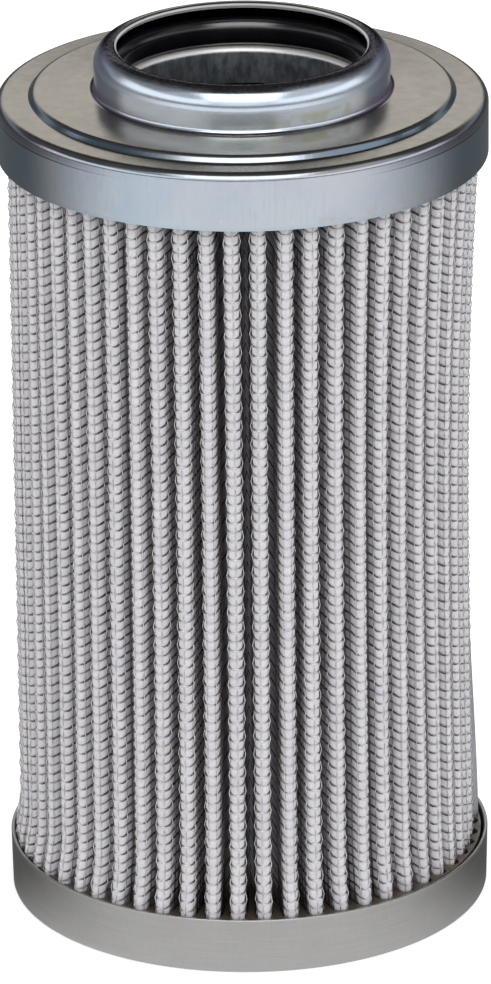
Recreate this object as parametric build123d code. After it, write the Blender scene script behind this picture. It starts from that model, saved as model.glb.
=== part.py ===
from build123d import *
import os
from math import acos, atan2, cos, degrees, pi, radians, sin

# A replaceable hydraulic filter element: a pleated pack of wire cloth, fleece and glass fibre round a perforated
# core, bonded into two pressed-steel end caps. It stands on its closed cap. The open cap's collar holds a seal.
# Millimetres. The origin is the middle of the closed cap's outer face, +Z runs up the axis, -Y is the front.

# End caps
overall_height = 126.2
cap_radius = 34.25
cap_sheet = 0.8
top_skirt_depth = 8.2
shoulder_radius = 1.2
step_inset = 4.4
step_rise = 0.92
step_slope = 45.0
step_foot_bend = 0.2
step_top_bend = 0.9
bottom_rim_inset = 0.05
bottom_cap_height = 8.15
bottom_flare = 0.15
bottom_corner_radius = 0.45

# Collar on the open cap
collar_height = 6.4
collar_foot_bend = 0.5
collar_bulge = 0.15
collar_roll_radius = 2.5
lip_curl = 20.0
lip_edge_crown = 0.2

# Bore, retainer, seal and core
bore_radius = 17.0
retainer_sheet = 0.7
retainer_bend = 0.9
sleeve_length = 5.3
seal_stands_proud = 0.2
seal_height = 4.1
sleeve_to_core = 0.9
core_sheet = 0.8
core_hole_diameter = 4.4
core_holes_round = 12
core_row_pitch = 11.0
core_bare_end = 5.0
core_to_collar = 0.35
retainer_fit = 0.1

# Pleated pack
outer_mesh_thickness = 0.3
outer_fleece_thickness = 0.12
media_thickness = 0.2
inner_fleece_thickness = 0.08
inner_mesh_thickness = 0.18
layer_gap = 0.02
wire_ridge_height = 0.1
wire_ridge_width = 0.22
wire_pitch = 1.36
crown_slack = 0.26
root_slack = 0.09
root_gap = 0.25
pack_to_cap = 0.6
pack_to_core = 0.25
front_crown = 4.7
slow_wander = 1.15
quick_wander = 0.15
quick_waves = 18

# Side seam
seam_bearing = 97.0
seam_sheet = 0.3
seam_leg = 4.5

# Potting
potting_floor = 1.2
bottom_potting_recess = 0.35
top_potting_recess = 1.0
fit_gap = 0.02

# Heights of the caps' faces
raised_face = overall_height - collar_height
plate_face = raised_face - step_rise
plate_underside = plate_face - cap_sheet
top_skirt_edge = plate_face - top_skirt_depth

# Radii inward from the caps' walls
step_foot_radius = cap_radius - step_inset
bottom_rim_radius = cap_radius - bottom_rim_inset

# Radii outward from the bore
sleeve_radius = bore_radius + retainer_sheet
core_bore_radius = sleeve_radius + sleeve_to_core
core_radius = core_bore_radius + core_sheet
collar_bore_radius = core_radius + core_to_collar
collar_neck_radius = collar_bore_radius + cap_sheet
core_top = raised_face - retainer_sheet

# The pack's folds: a crown is an outer fold and a root an inner one
pack_thickness = (outer_mesh_thickness + outer_fleece_thickness + media_thickness
                  + inner_fleece_thickness + inner_mesh_thickness + 4 * layer_gap)
crown_radius = pack_thickness + crown_slack
root_radius = pack_thickness + root_slack
crown_circle = cap_radius - cap_sheet - pack_to_cap - crown_radius
root_circle = core_radius + pack_to_core + root_radius
pleat_count = int(2 * pi * root_circle / (2 * root_radius + root_gap))
pleat_pitch = 360 / pleat_count
pack_bottom = cap_sheet + potting_floor
pack_top = plate_underside - potting_floor
potting_top = bottom_cap_height - bottom_potting_recess
potting_bottom = top_skirt_edge + top_potting_recess


def at(radius, height):
    """A point of a turned section."""
    return Vector(radius, 0, height)


def turned(bends):
    """Edges through bends in a turned section, with straight runs between them.
    A bend is (centre radius, centre height, bend radius, first angle, last angle)."""
    edges = []
    end = None
    for centre_r, centre_z, bend, first, last in bends:
        ends = [at(centre_r + bend * cos(radians(a)), centre_z + bend * sin(radians(a)))
                for a in (first, (first + last) / 2, last)]
        if end is not None and (ends[0] - end).length > 1e-6:
            edges.append(Edge.make_line(end, ends[0]))
        if bend > 0 and first != last:
            edges.append(Edge.make_three_point_arc(*ends))
        end = ends[2]
    return edges


def corner(radius, height):
    """A sharp corner, written as a bend."""
    return (radius, height, 0, 0, 0)


def ring(edges):
    """The solid that closed section edges sweep round the axis."""
    return revolve(Face(Wire(edges)), Axis.Z)


def top_cap_skin(depth):
    """Bends of the open cap's sheet, from its skirt's edge to its lip, at a depth below the outer face."""
    slope = radians(step_slope)
    bends = step_foot_bend + step_top_bend
    slope_length = (step_rise - bends * (1 - cos(slope))) / sin(slope)
    step_top_r = step_foot_radius - bends * sin(slope) - slope_length * cos(slope)
    roll_r = collar_neck_radius + collar_bulge - collar_roll_radius
    roll_z = overall_height - collar_roll_radius
    return [
        corner(cap_radius - depth, top_skirt_edge),
        (cap_radius - shoulder_radius, plate_face - shoulder_radius, shoulder_radius - depth, 0, 90),
        (step_foot_radius, plate_face + step_foot_bend, step_foot_bend + depth, -90, -90 - step_slope),
        (step_top_r, raised_face - step_top_bend, step_top_bend - depth, 90 - step_slope, 90),
        (collar_neck_radius + collar_foot_bend, raised_face + collar_foot_bend, collar_foot_bend + depth, -90, -180),
        (roll_r, roll_z, collar_roll_radius - depth, 0, 90 + lip_curl),
    ]


def top_end_cap():
    """One drawn sheet: skirt, shoulder, plate with a shallow step, and a bulged collar with its lip rolled in."""
    outer = turned(top_cap_skin(0))
    inner = turned(top_cap_skin(cap_sheet))
    lip_out = outer[-1].end_point()
    lip_in = inner[-1].end_point()
    inward = at(-sin(radians(90 + lip_curl)), cos(radians(90 + lip_curl)))
    lip = Edge.make_three_point_arc(lip_out, (lip_out + lip_in) / 2 + inward * lip_edge_crown, lip_in)
    skirt = Edge.make_line(inner[0].start_point(), outer[0].start_point())
    return ring(outer + [lip] + inner + [skirt])


def bottom_end_cap():
    """A plain drawn cup that closes the element's lower end."""
    base_radius = bottom_rim_radius - bottom_flare
    bends = [
        corner(0, cap_sheet),
        corner(base_radius - cap_sheet, cap_sheet),
        corner(bottom_rim_radius - cap_sheet, bottom_cap_height),
        corner(bottom_rim_radius, bottom_cap_height),
        (base_radius - bottom_corner_radius, bottom_corner_radius, bottom_corner_radius, 0, -90),
        corner(0, 0),
        corner(0, cap_sheet),
    ]
    return ring(turned(bends))


def seal_ring():
    """A rubber ring with rounded edges, which lies on the retainer under the collar's lip."""
    inner_r = bore_radius - seal_stands_proud
    outer_r = collar_bore_radius - fit_gap
    half = (outer_r - inner_r) / 2
    middle = (outer_r + inner_r) / 2
    low = raised_face + fit_gap + half
    high = raised_face + fit_gap + seal_height - half
    bends = [(middle, low, half, -180, 0), (middle, high, half, 0, 180), corner(inner_r, low)]
    return ring(turned(bends))


def seal_retainer():
    """A pressed ring: a flange that carries the seal, and a short sleeve that guides the spigot."""
    flange_r = collar_bore_radius - retainer_fit
    sleeve_end = raised_face - sleeve_length
    bend_r = bore_radius + retainer_bend
    bend_z = raised_face - retainer_bend
    bends = [
        corner(bore_radius, sleeve_end),
        (bend_r, bend_z, retainer_bend, 180, 90),
        corner(flange_r, raised_face),
        corner(flange_r, core_top),
        (bend_r, bend_z, retainer_bend - retainer_sheet, 90, 180),
        corner(sleeve_radius, sleeve_end),
        corner(bore_radius, sleeve_end),
    ]
    return ring(turned(bends))


def core_tube():
    """A perforated tube from the closed cap's floor to the retainer's flange."""
    height = core_top - cap_sheet
    tube = Pos(0, 0, cap_sheet + height / 2) * (Cylinder(core_radius, height) - Cylinder(core_bore_radius, height))
    first = potting_top + core_bare_end
    last = raised_face - sleeve_length - core_bare_end / 2
    rows = int((last - first) / core_row_pitch) + 1
    step = 360 / core_holes_round
    drill = Rot(0, 90, 0) * Cylinder(core_hole_diameter / 2, 4 * core_sheet)
    holes = [Rot(0, 0, (column + 0.5 * (row % 2)) * step) * Pos(core_radius, 0, first + row * core_row_pitch) * drill
             for row in range(rows) for column in range(core_holes_round)]
    return tube - holes


def crown_bearing(index):
    """Where a crown stands, in degrees from the front, anticlockwise from above: evenly spaced but for a slow
    and a quick wander, as in a pack that is gathered by hand."""
    even = front_crown + pleat_pitch * index
    slow = slow_wander * cos(radians(2 * (even - front_crown)))
    quick = quick_wander * sin(radians(quick_waves * pleat_pitch * index))
    return even - slow + quick


def polar(radius, bearing):
    """A point at a bearing from the front."""
    return Vector(radius * sin(radians(bearing)), -radius * cos(radians(bearing)), 0)


def crown_centre(index):
    return polar(crown_circle, crown_bearing(index))


def root_centre(index):
    """The root between a crown and the next one."""
    return polar(root_circle, (crown_bearing(index) + crown_bearing(index + 1)) / 2)


def flank_normal(crown, root, folds, side):
    """The direction across a flank, away from its pleat's middle. The flank touches both folds' arcs, whose radii
    add up to folds."""
    run = root - crown
    heading = degrees(atan2(run.Y, run.X)) - side * degrees(acos(folds / run.length))
    return Vector(cos(radians(heading)), sin(radians(heading)), 0)


def ridged_arc(centre, radius, start, end):
    """A crown's outer arc with a ridge for each of the cloth's lengthwise wires that runs up it."""
    first = degrees(atan2(start.Y - centre.Y, start.X - centre.X))
    sweep = (degrees(atan2(end.Y - centre.Y, end.X - centre.X)) - first) % 360
    spacing = degrees(wire_pitch / crown_radius)
    half_width = degrees(wire_ridge_width / 2 / crown_radius)

    def on(angle, extra=0.0):
        turn = radians(first + angle)
        return centre + Vector(cos(turn), sin(turn), 0) * (radius + extra)

    edges = []
    done = 0
    for wire in (-1, 0, 1):
        peak = sweep / 2 + wire * spacing
        low, high = peak - half_width, peak + half_width
        edges.append(Edge.make_three_point_arc(on(done), on((done + low) / 2), on(low)))
        edges.append(Edge.make_line(on(low), on(peak, wire_ridge_height)))
        edges.append(Edge.make_line(on(peak, wire_ridge_height), on(high)))
        done = high
    edges.append(Edge.make_three_point_arc(on(done), on((done + sweep) / 2), on(sweep)))
    return edges


def pleat_outline(depth, ridged=False):
    """The pack's closed outline at a depth below its outer face."""
    crown_fold = crown_radius - depth
    root_fold = root_radius - pack_thickness + depth
    folds = crown_fold + root_fold
    edges = []
    for index in range(pleat_count):
        crown = crown_centre(index)
        before = root_centre(index - 1)
        after = root_centre(index)
        following = crown_centre(index + 1)
        near = flank_normal(crown, before, folds, -1)
        far = flank_normal(crown, after, folds, 1)
        back = flank_normal(following, after, folds, -1)
        start = crown + near * crown_fold
        end = crown + far * crown_fold
        if ridged:
            edges += ridged_arc(crown, crown_fold, start, end)
        else:
            edges.append(Edge.make_three_point_arc(start, crown + crown.normalized() * crown_fold, end))
        root_start = after - far * root_fold
        root_end = after - back * root_fold
        edges.append(Edge.make_line(end, root_start))
        edges.append(Edge.make_three_point_arc(root_start, after - after.normalized() * root_fold, root_end))
        edges.append(Edge.make_line(root_end, following + back * crown_fold))
    return Wire(edges)


def prism(outer, inner, low, high):
    """The upright solid between two closed outlines."""
    return Solid.extrude(Pos(0, 0, low) * Face(outer, [inner]), Vector(0, 0, high - low))


def circle(radius):
    return Wire.make_circle(radius)


def pleated_layer(depth, thickness, ridged=False):
    """One layer of the pack, at its depth below the outer face."""
    return prism(pleat_outline(depth, ridged), pleat_outline(depth + thickness), pack_bottom, pack_top)


def potting(floor_low, floor_high, floor_radius, fill_low, fill_high, fill_radius):
    """Resin: a floor under the pleats' ends, and the fill that rises round and between them."""
    bore = circle(core_radius + fit_gap)
    floor = prism(circle(floor_radius), bore, floor_low, floor_high)
    outside = prism(circle(fill_radius), pleat_outline(-fit_gap, ridged=True), fill_low, fill_high)
    inside = prism(pleat_outline(pack_thickness + fit_gap), bore, fill_low, fill_high)
    return floor + outside + inside


def bottom_potting():
    radius = bottom_rim_radius - bottom_flare - cap_sheet - fit_gap
    return potting(cap_sheet, pack_bottom, radius, pack_bottom, potting_top, radius)


def top_potting():
    wall = cap_radius - cap_sheet
    inner_corner = shoulder_radius - cap_sheet
    return potting(pack_top, plate_underside, wall - inner_corner - fit_gap, potting_bottom, pack_top, wall - fit_gap)


def side_seam_strip():
    """A folded strip that clamps the pack's two ends at one crown."""
    index = round((seam_bearing - front_crown) / pleat_pitch)
    crown = crown_centre(index)
    outward = crown.normalized()
    across = outward.rotate(Axis.Z, 90)
    inner_r = crown_radius + wire_ridge_height + fit_gap
    outer_r = inner_r + seam_sheet
    leg = outward * -seam_leg
    tips = [crown - across * inner_r, crown + outward * inner_r, crown + across * inner_r]
    backs = [crown - across * outer_r, crown + outward * outer_r, crown + across * outer_r]
    edges = [
        Edge.make_three_point_arc(*backs),
        Edge.make_line(backs[2], backs[2] + leg),
        Edge.make_line(backs[2] + leg, tips[2] + leg),
        Edge.make_line(tips[2] + leg, tips[2]),
        Edge.make_three_point_arc(*tips),
        Edge.make_line(tips[0], tips[0] + leg),
        Edge.make_line(tips[0] + leg, backs[0] + leg),
        Edge.make_line(backs[0] + leg, backs[0]),
    ]
    section = Face(Wire(edges))
    return Solid.extrude(Pos(0, 0, potting_top) * section, Vector(0, 0, potting_bottom - potting_top))


def layers():
    """The pack's five layers from the outside in, each a layer gap below the last."""
    names = {
        "outer_wire_mesh": outer_mesh_thickness,
        "outer_fleece": outer_fleece_thickness,
        "glass_fibre_media": media_thickness,
        "inner_fleece": inner_fleece_thickness,
        "inner_wire_mesh": inner_mesh_thickness,
    }
    made = {}
    depth = 0
    for name, thickness in names.items():
        made[name] = pleated_layer(depth, thickness, ridged=(depth == 0))
        depth += thickness + layer_gap
    return made


def main():
    os.makedirs("parts", exist_ok=True)
    parts = {
        "top_end_cap": top_end_cap(),
        "bottom_end_cap": bottom_end_cap(),
        "seal_ring": seal_ring(),
        "seal_retainer": seal_retainer(),
        "core_tube": core_tube(),
        "side_seam_strip": side_seam_strip(),
        "bottom_potting": bottom_potting(),
        "top_potting": top_potting(),
    }
    parts.update(layers())
    for name, shape in parts.items():
        export_step(shape, f"parts/{name}.step")
    print("pleats:", pleat_count, "wide fold:", round(2 * crown_radius, 2), "pack:", round(pack_thickness, 2))


main()
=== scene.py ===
from math import cos, pi, radians, sin
from types import SimpleNamespace

import bmesh
import bpy
import numpy as np
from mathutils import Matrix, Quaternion, Vector


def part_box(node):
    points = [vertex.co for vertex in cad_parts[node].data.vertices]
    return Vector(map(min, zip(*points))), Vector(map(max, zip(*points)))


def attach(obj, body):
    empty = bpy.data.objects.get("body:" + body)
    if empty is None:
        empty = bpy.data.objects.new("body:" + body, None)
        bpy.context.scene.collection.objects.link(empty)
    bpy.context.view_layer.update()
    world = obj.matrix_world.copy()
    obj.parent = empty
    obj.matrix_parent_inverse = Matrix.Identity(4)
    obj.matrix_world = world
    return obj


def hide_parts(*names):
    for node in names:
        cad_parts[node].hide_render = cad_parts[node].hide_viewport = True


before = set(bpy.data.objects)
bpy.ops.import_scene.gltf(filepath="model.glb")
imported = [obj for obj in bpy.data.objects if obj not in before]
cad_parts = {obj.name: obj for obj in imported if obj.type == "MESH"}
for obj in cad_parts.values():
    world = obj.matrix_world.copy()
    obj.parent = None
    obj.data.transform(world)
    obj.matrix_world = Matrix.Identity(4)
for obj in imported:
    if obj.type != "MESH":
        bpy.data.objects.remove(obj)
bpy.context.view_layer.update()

# The scene is in metres. Sizes below are millimetres, and MM turns them into metres. Angles are degrees.
MM = 0.001
BODY = "root"

# The photograph's camera: pitched down at the element and slightly rolled, by an angle in radians
CAMERA_TARGET_HEIGHT = 59.16
CAMERA_TARGET_SIDE = -0.1
CAMERA_DISTANCE = 1206.3
CAMERA_ELEVATION = 21.6
CAMERA_LENS = 311.83
CAMERA_SENSOR = 36.0
CAMERA_ROLL = 0.01
CAMERA_NEAR = 50.0
CAMERA_FAR = 50000.0

# Caps, as on the solids
CAP_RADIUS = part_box("top_end_cap")[1].x / MM
OVERALL_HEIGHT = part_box("top_end_cap")[1].z / MM
TOP_SKIRT_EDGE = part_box("top_end_cap")[0].z / MM
BOTTOM_RIM_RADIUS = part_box("bottom_end_cap")[1].x / MM
BOTTOM_CAP_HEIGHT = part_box("bottom_end_cap")[1].z / MM
CAP_SHEET = 0.8
SHOULDER_RADIUS = 1.2
STEP_INSET = 4.4
STEP_FOOT_RADIUS = CAP_RADIUS - STEP_INSET
STEP_RISE = 0.92
STEP_SLOPE = 56.0
STEP_FOOT_BEND = 0.2
STEP_TOP_BEND = 0.9
COLLAR_HEIGHT = 6.4
COLLAR_FOOT_BEND = 0.85
COLLAR_BULGE = 0.15
COLLAR_ROLL_RADIUS = 2.5
COLLAR_ROLL_STRETCH = 1.25
LIP_START = 95.0
LIP_END = 140.0
LIP_BEND = 1.0
LIP_EDGE_CROWN = 0.2
BOTTOM_FLARE = 0.15
BOTTOM_CORNER_RADIUS = 0.45
RIM_THICKNESS = 0.5
RIM_ROUND = 0.2
RAISED_FACE = OVERALL_HEIGHT - COLLAR_HEIGHT
PLATE_FACE = RAISED_FACE - STEP_RISE

# Bore, seal and core
BORE_RADIUS = 17.0
SLEEVE_LENGTH = 5.3
# The retainer's painted highlight starts this far below the raised face
SLEEVE_HIGHLIGHT_DROP = 0.6
RETAINER_SHEET = 0.7
RETAINER_BEND = 0.9
RETAINER_FIT = 0.1
SEAL_STANDS_PROUD = 0.2
SEAL_HEIGHT = 4.1
SEAL_FIT = 0.02
CORE_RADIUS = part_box("core_tube")[1].x / MM
CORE_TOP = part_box("core_tube")[1].z / MM
CORE_SHEET = 0.8
CORE_HOLE_RADIUS = 1.75
CORE_HOLES_ROUND = 20
CORE_ROW_PITCH = 5.9
CORE_HOLE_SIDES = 12
CORE_FIT = 0.35
COLLAR_BORE_RADIUS = CORE_RADIUS + CORE_FIT
COLLAR_NECK_RADIUS = COLLAR_BORE_RADIUS + CAP_SHEET
COLLAR_ROLL_CENTRE = COLLAR_NECK_RADIUS + COLLAR_BULGE - COLLAR_ROLL_RADIUS

# How finely the turned pieces are drawn
CAP_SEGMENTS = 224
RING_SEGMENTS = 160

# Pleated pack, with the radii inside its bends and its gaps to the cap and to the core
PACK_THICKNESS = 0.96
PACK_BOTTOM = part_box("outer_fleece")[0].z / MM
PACK_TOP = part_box("outer_fleece")[1].z / MM
CROWN_BEND = 0.26
ROOT_BEND = 0.09
CROWN_GAP = 0.6
ROOT_GAP = 0.25
CROWN_RADIUS = PACK_THICKNESS + CROWN_BEND
ROOT_RADIUS = PACK_THICKNESS + ROOT_BEND
CROWN_CIRCLE = CAP_RADIUS - CAP_SHEET - CROWN_GAP - CROWN_RADIUS
ROOT_CIRCLE = CORE_RADIUS + ROOT_GAP + ROOT_RADIUS
FOLDS = CROWN_RADIUS + ROOT_RADIUS - PACK_THICKNESS
PLEAT_COUNT = 55
PLEAT_PITCH = 360 / PLEAT_COUNT
FRONT_CROWN = 4.7
SLOW_WANDER = 1.15
QUICK_WANDER = 0.15
QUICK_WAVES = 18
WAIST_DEPTH = 1.35
WAIST_LOW = -60.0
WAIST_HIGH = TOP_SKIRT_EDGE
WAIST_SKEW = 2.09
FOOT_FLARE = 0.78
FOOT_FLARE_TOP = 15.0

# Woven wire. Places on the cloth are wire pitches from the lengthwise wire nearest to a crown's middle.
WIRE_PITCH = 1.36
WIRE_RADIUS = 0.08
WIRE_DEPTH = 0.1
WIRE_SIDES = 3
FIRST_PHASE = 0.31
PHASE_STEP = 0.618
CROSSWISE_WEAVE = 0.06
LENGTHWISE_WEAVE = 0.16
CROWN_WIRES = range(-1, 2)
FLANK_WIRES = 3
FLANK_WIRE_ROWS = 6
ROUND_CROWN = np.arange(-4, 5) / 3
DOWN_FLANK = np.array([2.1, 3.25])
ROW_SAG = 0.48
SAG_REACH = 1.6
ROW_DRIFT = 0.3
ROW_DRIFT_WAVES = 2
ROW_DRIFT_START = 1.0
CLOTH_IN_BOTTOM_CAP = 0.6
CLOTH_IN_TOP_CAP = 2.0
CLOTH_LOW = BOTTOM_CAP_HEIGHT - CLOTH_IN_BOTTOM_CAP
CLOTH_HIGH = TOP_SKIRT_EDGE + CLOTH_IN_TOP_CAP

# Fleece between the wires, and the places of its points and of the hidden layers' points on the cloth
FLEECE_DEPTH = 0.32
SNUG = 0.1
PILLOW = 0.17
PILLOW_REACH = 1.5
PILLOW_ON_FLANK = 0.45
PILLOW_AT_WIRE = 0.45
FLEECE_PLACES = np.concatenate([[-5.0], np.arange(-4, 5) / 2, [5.0]])
FLEECE_RISES = (0.0, 0.27, 0.73)
INNER_PLACES = np.array([-5.0, -2.4, -1.2, -0.6, 0.0, 0.6, 1.2, 2.4, 5.0])
INNER_ROWS = 6

# Strip folded over one pleat's crown
SEAM_BEARING = 97.0
SEAM_SHEET = 0.3
SEAM_LEG = 4.5
SEAM_PROUD = 0.12
SEAM_FLARE = 0.85
SEAM_FLARE_TOP = 46.0
SEAM_IN_CAP = 1.0
SEAM_ROWS = 80
SEAM_BEND_POINTS = 13

# Light on dull surfaces, and how much the floor is lifted towards white
WORLD_LIGHT = 0.83
KEY_POWER = 7.0
KEY_PLACE = (250.0, -1100.0, 1300.0)
KEY_AIM = (0.0, 0.0, 60.0)
KEY_WIDTH = 1400.0
KEY_HEIGHT = 900.0
FLOOR_HALF = 3000.0
FLOOR_DROP = 0.02
FLOOR_LIFT = 0.5

# What polished metal sees: lights by their angle, from the back's horizon over the top to the front's
PANEL = (16.0, 28.0)
SOFTBOX = (116.0, 152.0)
LOW_FRONT = (150.0, 171.0)
RIGHT_BOX = (88.0, 150.0)
LIGHT_EDGE = 4.0
RIGHT_BOX_EDGE = 14.0
RING = (0.17, 0.42)
RING_EDGE = 0.08
ROOM_LIGHT = 0.07
FLOOR_DARK = 0.13
FLOOR_BACK_GLOW = 0.4
FLOOR_CLOSE = 50.0
FLOOR_DISTANT = 110.0

# The ranges in which a noise varies: nearly all of it, and its middle, where patches get clear edges
GENTLE = (0.3, 0.7)
CRISP = (0.38, 0.62)


def add_object(name, data):
    """Puts a mesh, a lamp or a camera into the scene."""
    added = bpy.data.objects.new(name, data)
    bpy.context.scene.collection.objects.link(added)
    return added


def make_object(name, points, faces, material, replaces=(), sharp=None, weld=False):
    """A piece of the element from points in millimetres. Edges sharper than the angle stay sharp."""
    mesh = bpy.data.meshes.new(name)
    mesh.from_pydata((np.asarray(points) * MM).tolist(), [], faces)
    if weld:
        join_close_points(mesh)
    mesh.update()
    mesh.shade_smooth()
    if sharp is not None:
        mesh.set_sharp_from_angle(angle=radians(sharp))
    mesh.materials.append(material)
    piece = add_object(name, mesh)
    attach(piece, BODY)
    if replaces:
        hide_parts(*replaces)
    return piece


def join_close_points(mesh):
    """Joins the points of neighbouring faces that were made apart."""
    work = bmesh.new()
    work.from_mesh(mesh)
    bmesh.ops.remove_doubles(work, verts=work.verts, dist=1e-7)
    work.to_mesh(mesh)
    work.free()


def keep_values(piece, name, values, kind="FLOAT", field="value"):
    """Keeps a value at each point of a piece, for its material to read."""
    layer = piece.data.attributes.new(name, kind, "POINT")
    layer.data.foreach_set(field, np.asarray(values, np.float32).ravel())


def arc(centre_r, centre_z, bend, first, last, steps=10):
    """Points of an arc in a turned section, from the first angle to the last."""
    angles = np.radians(np.linspace(first, last, steps + 1))
    return [(centre_r + bend * cos(a), centre_z + bend * sin(a)) for a in angles]


def turned(profile, segments):
    """Points and faces that a closed outline sweeps round the axis. Points on the axis stay single."""
    turns = np.linspace(0, 2 * pi, segments, endpoint=False)
    points = []
    rings = []
    for r, z in profile:
        start = len(points)
        if r < 1e-6:
            points.append((0, 0, z))
            rings.append([start] * segments)
        else:
            points += [(r * cos(a), r * sin(a), z) for a in turns]
            rings.append(list(range(start, start + segments)))
    faces = []
    for ring, following in zip(rings, rings[1:] + rings[:1]):
        for k in range(segments):
            m = (k + 1) % segments
            corners = dict.fromkeys((ring[k], ring[m], following[m], following[k]))
            if len(corners) > 2:
                faces.append(list(corners))
    return points, faces


def cap_step(depth):
    """The shallow step between the cap's two flats: a bend at its foot and one at its top."""
    slope = radians(STEP_SLOPE)
    bends = STEP_FOOT_BEND + STEP_TOP_BEND
    slope_length = (STEP_RISE - bends * (1 - cos(slope))) / sin(slope)
    top_r = STEP_FOOT_RADIUS - bends * sin(slope) - slope_length * cos(slope)
    foot_z = PLATE_FACE + STEP_FOOT_BEND
    top_z = RAISED_FACE - STEP_TOP_BEND
    foot = arc(STEP_FOOT_RADIUS, foot_z, STEP_FOOT_BEND + depth, -90, -90 - STEP_SLOPE, steps=4)
    return foot + arc(top_r, top_z, STEP_TOP_BEND - depth, 90 - STEP_SLOPE, 90, steps=8)


def collar_roll(depth):
    """The collar's rounded top, an arc that is stretched in height."""
    reach = COLLAR_ROLL_RADIUS - depth
    top = OVERALL_HEIGHT - depth
    quarter = arc(COLLAR_ROLL_CENTRE, 0, reach, 0, 90, steps=14)
    return [(r, top + COLLAR_ROLL_STRETCH * (z - reach)) for r, z in quarter]


def top_cap_skin(depth):
    """The open cap's sheet from its skirt's edge to its lip, at a depth below the outer face."""
    foot_r = COLLAR_NECK_RADIUS + COLLAR_FOOT_BEND
    foot_z = RAISED_FACE + COLLAR_FOOT_BEND
    return (
        [(CAP_RADIUS - depth, TOP_SKIRT_EDGE)]
        + arc(CAP_RADIUS - SHOULDER_RADIUS, PLATE_FACE - SHOULDER_RADIUS, SHOULDER_RADIUS - depth, 0, 90)
        + cap_step(depth)
        + arc(foot_r, foot_z, COLLAR_FOOT_BEND + depth, -90, -180, steps=8)
        + collar_roll(depth)
        + arc(COLLAR_ROLL_CENTRE, OVERALL_HEIGHT - LIP_BEND, LIP_BEND - depth, LIP_START, LIP_END, steps=6)
    )


def top_end_cap(material):
    """The open cap. Its material tells the inner face and the lip's edge by what each point keeps."""
    outer = top_cap_skin(0)
    inner = top_cap_skin(CAP_SHEET)
    curl = radians(LIP_END)
    lip_edge = np.add(outer[-1], inner[-1]) / 2 + LIP_EDGE_CROWN * np.array([-sin(curl), cos(curl)])
    points, faces = turned(outer + [tuple(lip_edge)] + inner[::-1], CAP_SEGMENTS)
    piece = make_object("top_cap", points, faces, material, ["top_end_cap"], sharp=40)
    from_edge = np.arange(len(outer) + 1 + len(inner)) - len(outer)
    keep_values(piece, "inside", np.repeat(from_edge > 0, CAP_SEGMENTS))
    keep_values(piece, "edge", np.repeat((from_edge >= -3) & (from_edge <= 1), CAP_SEGMENTS))


def bottom_end_cap(material):
    """The closed cap, a cup whose wall flares slightly to a rounded rim."""
    base_r = BOTTOM_RIM_RADIUS - BOTTOM_FLARE
    rim_z = BOTTOM_CAP_HEIGHT - RIM_ROUND
    profile = (
        [(0, CAP_SHEET), (base_r - CAP_SHEET, CAP_SHEET)]
        + arc(BOTTOM_RIM_RADIUS - RIM_THICKNESS + RIM_ROUND, rim_z, RIM_ROUND, 180, 90, steps=5)
        + arc(BOTTOM_RIM_RADIUS - RIM_ROUND, rim_z, RIM_ROUND, 90, 0, steps=5)
        + arc(base_r - BOTTOM_CORNER_RADIUS, BOTTOM_CORNER_RADIUS, BOTTOM_CORNER_RADIUS, 0, -90, steps=8)
        + [(0, 0)]
    )
    points, faces = turned(profile, CAP_SEGMENTS)
    make_object("bottom_cap", points, faces, material, ["bottom_end_cap"], sharp=40)


def seal(material):
    """A rubber ring with rounded ends, which stands slightly proud of the sleeve."""
    inner_r = BORE_RADIUS - SEAL_STANDS_PROUD
    outer_r = COLLAR_BORE_RADIUS - SEAL_FIT
    half = (outer_r - inner_r) / 2
    middle = (outer_r + inner_r) / 2
    foot = RAISED_FACE + SEAL_FIT
    section = arc(middle, foot + half, half, -180, 0, steps=14)
    section += arc(middle, foot + SEAL_HEIGHT - half, half, 0, 180, steps=14)
    points, faces = turned(section, RING_SEGMENTS)
    make_object("seal", points, faces, material, ["seal_ring"])


def retainer(material):
    """The pressed ring under the seal, with its sleeve inside the bore."""
    flange_r = COLLAR_BORE_RADIUS - RETAINER_FIT
    sleeve_end = RAISED_FACE - SLEEVE_LENGTH
    bend_r = BORE_RADIUS + RETAINER_BEND
    bend_z = RAISED_FACE - RETAINER_BEND
    profile = (
        [(BORE_RADIUS, sleeve_end)]
        + arc(bend_r, bend_z, RETAINER_BEND, 180, 90)
        + [(flange_r, RAISED_FACE), (flange_r, CORE_TOP)]
        + arc(bend_r, bend_z, RETAINER_BEND - RETAINER_SHEET, 90, 180, steps=4)
        + [(BORE_RADIUS + RETAINER_SHEET, sleeve_end)]
    )
    points, faces = turned(profile, RING_SEGMENTS)
    make_object("retainer", points, faces, material, ["seal_retainer"], sharp=40)


def crown_bearings():
    """Where the crowns stand, in radians from the front: evenly but for a slow and a quick wander."""
    turns = PLEAT_PITCH * np.arange(PLEAT_COUNT)
    slow = SLOW_WANDER * np.cos(np.radians(2 * turns))
    quick = QUICK_WANDER * np.sin(np.radians(QUICK_WAVES * turns))
    return np.radians(FRONT_CROWN + turns - slow + quick)


def root_bearings():
    """Where the root after each crown stands, counted on past a full turn."""
    following = np.roll(crown_bearings(), -1)
    following[-1] += 2 * pi
    return (crown_bearings() + following) / 2


def polar(radius, bearing):
    return np.stack([radius * np.sin(bearing), -radius * np.cos(bearing)], axis=-1)


def smooth_step(value, low, high):
    """Rises smoothly from 0 to 1 as the value goes from low to high."""
    part = np.clip((value - low) / (high - low), 0, 1)
    return part * part * (3 - 2 * part)


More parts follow.
